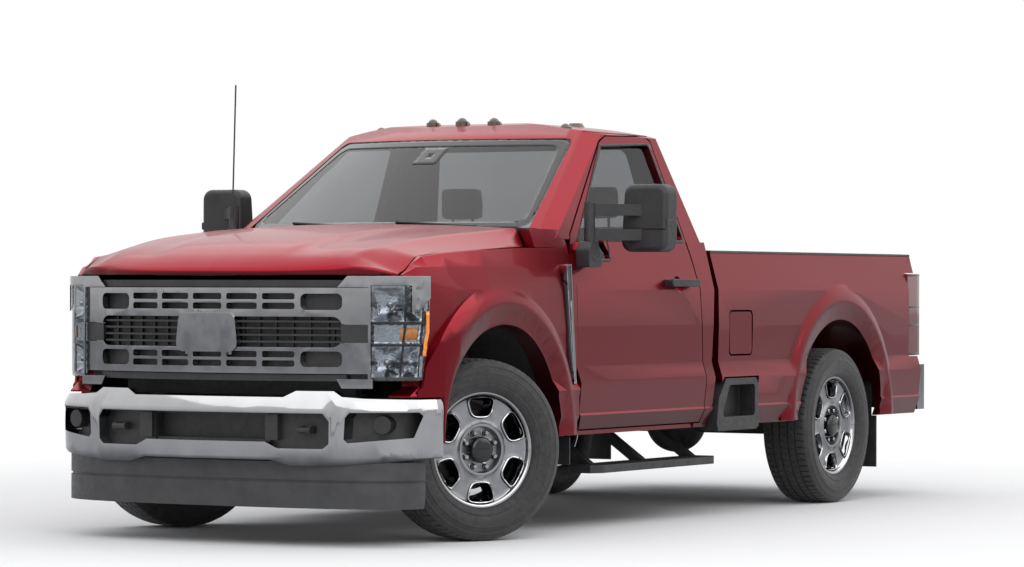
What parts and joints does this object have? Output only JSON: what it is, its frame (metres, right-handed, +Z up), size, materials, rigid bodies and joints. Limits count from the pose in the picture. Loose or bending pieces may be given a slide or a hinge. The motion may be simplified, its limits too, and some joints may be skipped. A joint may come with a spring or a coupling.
{
  "type": "full-size pickup truck, regular cab with long box",
  "caption": "Heavy-duty four-wheel-drive pickup with a regular cab, a long box, towing mirrors and opening doors, hood, tailgate and fuel door.",
  "frame": {"origin": "centre of the truck's bounding box, at floor level under the tyres", "axes": "+X forward, +Y to the truck's left, +Z up"},
  "size_m": [5.888, 2.667, 2.1402],
  "materials": {
    "red_paint": "gloss",
    "chrome": "polished",
    "black_frame": "satin",
    "cast_steel": "rough",
    "black_plastic": "matte",
    "grey_plastic": "matte",
    "gloss_black": "gloss",
    "glass": "polished",
    "lamp": "polished",
    "amber": "gloss",
    "red_lamp": "gloss",
    "tyre": "matte",
    "seat_cloth": "matte",
    "steel_pipe": "satin"
  },
  "bodies": {
    "root": {"frame_rails": "black_frame", "front_axle": "cast_steel", "rear_axle": "cast_steel", "springs": "black_frame", "engine_block": "cast_steel", "driveline": "cast_steel", "fuel_tank": "black_plastic", "exhaust": "steel_pipe", "cab_shell": "red_paint", "cab_glass": "glass", "fenders": "red_paint", "fender_vents": "grey_plastic", "liners_and_flaps": "black_plastic", "grille_chrome": "chrome", "grille_mesh": "black_plastic", "headlamps": "lamp", "lamp_brackets": "chrome", "front_bumper": "chrome", "bumper_inserts": "black_plastic", "air_dam": "grey_plastic", "box_tub": "red_paint", "box_sides": "red_paint", "tail_lamps": "red_lamp", "rear_bumper": "chrome", "rail_caps": "black_plastic", "steps": "black_plastic", "roof_lamps": "amber", "cowl": "black_plastic", "dashboard": "black_plastic", "bench_seat": "seat_cloth"},
    "knuckle_left": {"knuckle_left": "cast_steel"},
    "knuckle_right": {"knuckle_right": "cast_steel"},
    "tie_rod": {"tie_rod": "black_frame"},
    "front_left_wheel": {"wheel_front_left": "chrome", "tyre_front_left": "tyre"},
    "front_right_wheel": {"wheel_front_right": "chrome", "tyre_front_right": "tyre"},
    "rear_left_wheel": {"wheel_rear_left": "chrome", "tyre_rear_left": "tyre"},
    "rear_right_wheel": {"wheel_rear_right": "chrome", "tyre_rear_right": "tyre"},
    "left_door": {"door_left": "red_paint", "door_glass_left": "glass", "mirror_left": "black_plastic"},
    "right_door": {"door_right": "red_paint", "door_glass_right": "glass", "mirror_right": "black_plastic"},
    "hood": {"hood": "red_paint"},
    "tailgate": {"tailgate": "red_paint"},
    "fuel_door": {"fuel_door": "red_paint"}
  },
  "joints": [
    {"name": "steer_left", "type": "hinge", "parent": "root", "child": "knuckle_left", "pos_m": [1.974, 0.735, 0.414], "axis": [0, 0, 1], "range_deg": [-9.7, 64.3]},
    {"name": "steer_right", "type": "hinge", "parent": "root", "child": "knuckle_right", "pos_m": [1.974, -0.735, 0.414], "axis": [0, 0, 1], "range_deg": [-9.7, 64.3]},
    {"name": "tie_rod_pivot", "type": "hinge", "parent": "knuckle_left", "child": "tie_rod", "pos_m": [2.14284, 0.64786, 0.35], "axis": [0, 0, 1], "range_deg": [-64.3, 9.7]},
    {"name": "roll_front_left", "type": "hinge", "parent": "knuckle_left", "child": "front_left_wheel", "pos_m": [2.03477, 0.85274, 0.414], "axis": [0.4587, 0.8886, 0], "continuous": true},
    {"name": "roll_front_right", "type": "hinge", "parent": "knuckle_right", "child": "front_right_wheel", "pos_m": [1.91323, -0.85274, 0.414], "axis": [0.4587, 0.8886, 0], "continuous": true},
    {"name": "roll_rear_left", "type": "hinge", "parent": "root", "child": "rear_left_wheel", "pos_m": [-1.623, 0.8535, 0.414], "axis": [0, 1, 0], "continuous": true},
    {"name": "roll_rear_right", "type": "hinge", "parent": "root", "child": "rear_right_wheel", "pos_m": [-1.623, -0.8535, 0.414], "axis": [0, 1, 0], "continuous": true},
    {"name": "door_left_hinge", "type": "hinge", "parent": "root", "child": "left_door", "pos_m": [1.262, 1.003, 0.9], "axis": [0, 0, -1], "range_deg": [0, 65]},
    {"name": "door_right_hinge", "type": "hinge", "parent": "root", "child": "right_door", "pos_m": [1.262, -1.003, 0.9], "axis": [0, 0, 1], "range_deg": [0, 65]},
    {"name": "hood_hinge", "type": "hinge", "parent": "root", "child": "hood", "pos_m": [1.611, 0, 1.44], "axis": [0, -1, 0], "range_deg": [0, 50]},
    {"name": "tailgate_hinge", "type": "hinge", "parent": "root", "child": "tailgate", "pos_m": [-2.728, 0, 0.8], "axis": [0, -1, 0], "range_deg": [0, 90]},
    {"name": "fuel_door_hinge", "type": "hinge", "parent": "root", "child": "fuel_door", "pos_m": [-0.3155, 0.9845, 0.9225], "axis": [0, 0, -1], "range_deg": [0, 90]}
  ],
  "couplings": [
    {"joint": "steer_right", "follows": "steer_left", "ratio": 1},
    {"joint": "tie_rod_pivot", "follows": "steer_left", "ratio": -1}
  ]
}
